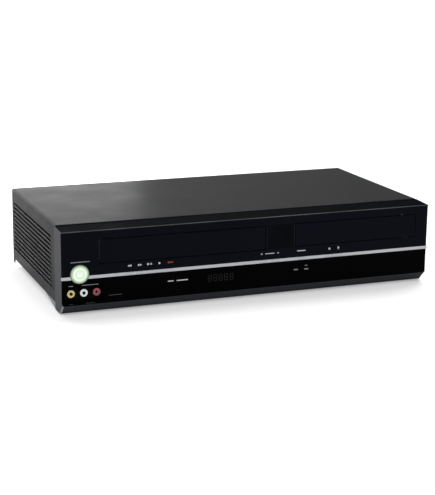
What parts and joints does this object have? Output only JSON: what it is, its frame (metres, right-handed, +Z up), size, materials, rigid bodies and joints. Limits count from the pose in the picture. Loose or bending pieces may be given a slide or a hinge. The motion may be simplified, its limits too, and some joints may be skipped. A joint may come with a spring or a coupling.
{
  "type": "dvd vcr combo player",
  "caption": "Slim disc and video-cassette player: louvred steel cover, gloss black front, hinged cassette door, sliding disc tray, silver key strip, lit power button and front sockets.",
  "frame": {"origin": "on the floor under the middle of the player's outer box", "axes": "+X to the right seen from the front, +Y to the rear, +Z up; the front faces -Y"},
  "size_m": [0.435, 0.234, 0.094],
  "materials": {
    "cover_paint": "satin, fine texture",
    "bezel_black": "polished top, satin sides",
    "gloss_black": "high gloss",
    "smoked_window": "high gloss, smoked",
    "trim_silver": "metallic silver paint",
    "lit_button": "translucent, lit from behind",
    "jack_yellow": "moulded",
    "jack_white": "moulded",
    "jack_red": "moulded",
    "black_plastic": "moulded, matt",
    "tray_plastic": "moulded, fine grain",
    "white_plastic": "moulded acetal",
    "board": "lacquered laminate",
    "display_glass": "dark display face",
    "zinc_steel": "zinc-plated sheet",
    "bright_steel": "ground steel",
    "panel_paint": "matt black",
    "screw_black": "blackened steel",
    "rear_jack_plastic": "moulded, coloured by signal",
    "foot_rubber": "matt",
    "belt_rubber": "matt",
    "drum_aluminium": "diamond turned"
  },
  "bodies": {
    "casing": {"top_cover": "cover_paint", "front_bezel": "bezel_black", "upper_fascia": "gloss_black", "lower_window": "smoked_window", "trim_strip": "trim_silver", "front_jack_block": "black_plastic", "video_jack": "jack_yellow", "left_audio_jack": "jack_white", "right_audio_jack": "jack_red", "front_board": "board", "key_switches": "black_plastic", "display_module": "display_glass", "base_pan": "zinc_steel", "rear_panel": "panel_paint", "feet": "foot_rubber", "cover_screws": "screw_black", "rear_jack_block": "black_plastic", "rear_jacks": "rear_jack_plastic", "tuner_module": "zinc_steel", "mains_inlet": "black_plastic", "main_board": "board", "power_board": "board", "deck_plate": "zinc_steel", "left_deck_side": "zinc_steel", "right_deck_side": "zinc_steel", "drum_base": "drum_aluminium", "capstan_motor": "zinc_steel", "reel_belt": "belt_rubber", "loader_frame": "black_plastic", "clamp_bridge": "zinc_steel"},
    "door": {"cassette_door": "gloss_black"},
    "power": {"power_button": "lit_button"},
    "sliders": {"holder_sliders": "black_plastic"},
    "holder": {"cassette_holder": "zinc_steel"},
    "supply": {"supply_reel": "white_plastic"},
    "takeup": {"takeup_reel": "white_plastic"},
    "drum": {"drum_rotor": "drum_aluminium"},
    "capstan_rotor": {"capstan": "bright_steel"},
    "clutch": {"clutch_pulley": "white_plastic"},
    "pinch": {"pinch_arm": "zinc_steel"},
    "roller": {"pinch_roller": "belt_rubber"},
    "tray": {"disc_tray": "tray_plastic", "tray_front": "gloss_black"},
    "gear": {"tray_gear": "white_plastic"},
    "traverse": {"traverse_plate": "zinc_steel", "sled_rods": "bright_steel", "spindle_motor": "zinc_steel"},
    "spindle": {"turntable": "black_plastic"},
    "sled": {"optical_sled": "black_plastic"},
    "puck": {"clamp_puck": "white_plastic"},
    "rewind_button": {"rewind_key": "trim_silver"},
    "fast_forward_button": {"fast_forward_key": "trim_silver"},
    "stop_eject_button": {"stop_eject_key": "trim_silver"},
    "play_button": {"play_key": "trim_silver"},
    "record_button": {"record_key": "trim_silver"},
    "channel_down_button": {"channel_down_key": "trim_silver"},
    "channel_up_button": {"channel_up_key": "trim_silver"},
    "source_button": {"source_key": "trim_silver"},
    "disc_stop_button": {"disc_stop_key": "trim_silver"},
    "disc_open_button": {"disc_open_key": "trim_silver"}
  },
  "joints": [
    {"name": "power_press", "type": "slide", "parent": "casing", "child": "power", "axis": [0, 1, 0], "range_m": [0, 0.0012], "stiffness_N_per_m": 400},
    {"name": "rewind_press", "type": "slide", "parent": "casing", "child": "rewind_button", "axis": [0, 1, 0], "range_m": [0, 0.0006], "stiffness_N_per_m": 400},
    {"name": "fast_forward_press", "type": "slide", "parent": "casing", "child": "fast_forward_button", "axis": [0, 1, 0], "range_m": [0, 0.0006], "stiffness_N_per_m": 400},
    {"name": "stop_eject_press", "type": "slide", "parent": "casing", "child": "stop_eject_button", "axis": [0, 1, 0], "range_m": [0, 0.0006], "stiffness_N_per_m": 400},
    {"name": "play_press", "type": "slide", "parent": "casing", "child": "play_button", "axis": [0, 1, 0], "range_m": [0, 0.0006], "stiffness_N_per_m": 400},
    {"name": "record_press", "type": "slide", "parent": "casing", "child": "record_button", "axis": [0, 1, 0], "range_m": [0, 0.0006], "stiffness_N_per_m": 400},
    {"name": "channel_down_press", "type": "slide", "parent": "casing", "child": "channel_down_button", "axis": [0, 1, 0], "range_m": [0, 0.0006], "stiffness_N_per_m": 400},
    {"name": "channel_up_press", "type": "slide", "parent": "casing", "child": "channel_up_button", "axis": [0, 1, 0], "range_m": [0, 0.0006], "stiffness_N_per_m": 400},
    {"name": "source_press", "type": "slide", "parent": "casing", "child": "source_button", "axis": [0, 1, 0], "range_m": [0, 0.0006], "stiffness_N_per_m": 400},
    {"name": "disc_stop_press", "type": "slide", "parent": "casing", "child": "disc_stop_button", "axis": [0, 1, 0], "range_m": [0, 0.0006], "stiffness_N_per_m": 400},
    {"name": "disc_open_press", "type": "slide", "parent": "casing", "child": "disc_open_button", "axis": [0, 1, 0], "range_m": [0, 0.0006], "stiffness_N_per_m": 400},
    {"name": "door_swing", "type": "hinge", "parent": "casing", "child": "door", "pos_m": [-0.081, -0.1116, 0.0856], "axis": [1, 0, 0], "range_deg": [0, 85], "stiffness_Nm_per_rad": 0.004},
    {"name": "slider_run", "type": "slide", "parent": "casing", "child": "sliders", "axis": [0, 1, 0], "range_m": [0, 0.062]},
    {"name": "holder_drop", "type": "slide", "parent": "sliders", "child": "holder", "axis": [0, 0, -1], "range_m": [0, 0.017]},
    {"name": "supply_spin", "type": "hinge", "parent": "casing", "child": "supply", "pos_m": [-0.127, -0.033, 0.038], "axis": [0, 0, 1], "continuous": true},
    {"name": "takeup_spin", "type": "hinge", "parent": "casing", "child": "takeup", "pos_m": [-0.035, -0.033, 0.038], "axis": [0, 0, 1], "continuous": true},
    {"name": "drum_spin", "type": "hinge", "parent": "casing", "child": "drum", "pos_m": [-0.081, 0.071, 0.0352], "axis": [0, 0.0958, 0.9954], "continuous": true},
    {"name": "capstan_spin", "type": "hinge", "parent": "casing", "child": "capstan_rotor", "pos_m": [-0.019, 0.035, 0.03], "axis": [0, 0, 1], "continuous": true},
    {"name": "clutch_spin", "type": "hinge", "parent": "casing", "child": "clutch", "pos_m": [-0.081, -0.019, 0.021], "axis": [0, 0, 1], "continuous": true},
    {"name": "pinch_swing", "type": "hinge", "parent": "casing", "child": "pinch", "pos_m": [0.003, 0.051, 0.033], "axis": [0, 0, 1], "range_deg": [0, 35], "stiffness_Nm_per_rad": 0.01},
    {"name": "roller_spin", "type": "hinge", "parent": "pinch", "child": "roller", "pos_m": [-0.01637, 0.05326, 0.04], "axis": [0, 0, 1], "continuous": true},
    {"name": "tray_slide", "type": "slide", "parent": "casing", "child": "tray", "axis": [0, -1, 0], "range_m": [0, 0.135]},
    {"name": "tray_gear_turn", "type": "hinge", "parent": "casing", "child": "gear", "pos_m": [0.0809, -0.094, 0.06], "axis": [0, 0, 1], "range_deg": [-10, 790]},
    {"name": "traverse_tilt", "type": "hinge", "parent": "casing", "child": "traverse", "pos_m": [0.1254, 0.037, 0.0525], "axis": [1, 0, 0], "range_deg": [0, 4.2]},
    {"name": "turntable_spin", "type": "hinge", "parent": "traverse", "child": "spindle", "pos_m": [0.1254, -0.0442, 0.06], "axis": [0, 0, 1], "continuous": true},
    {"name": "sled_slide", "type": "slide", "parent": "traverse", "child": "sled", "axis": [0, 1, 0], "range_m": [0, 0.034]},
    {"name": "puck_spin", "type": "hinge", "parent": "casing", "child": "puck", "pos_m": [0.1254, -0.0442, 0.072], "axis": [0, 0, 1], "continuous": true}
  ],
  "couplings": [
    {"joint": "clutch_spin", "follows": "capstan_spin", "ratio": 0.52941},
    {"joint": "tray_gear_turn", "follows": "tray_slide", "rad_per_m": 100}
  ]
}
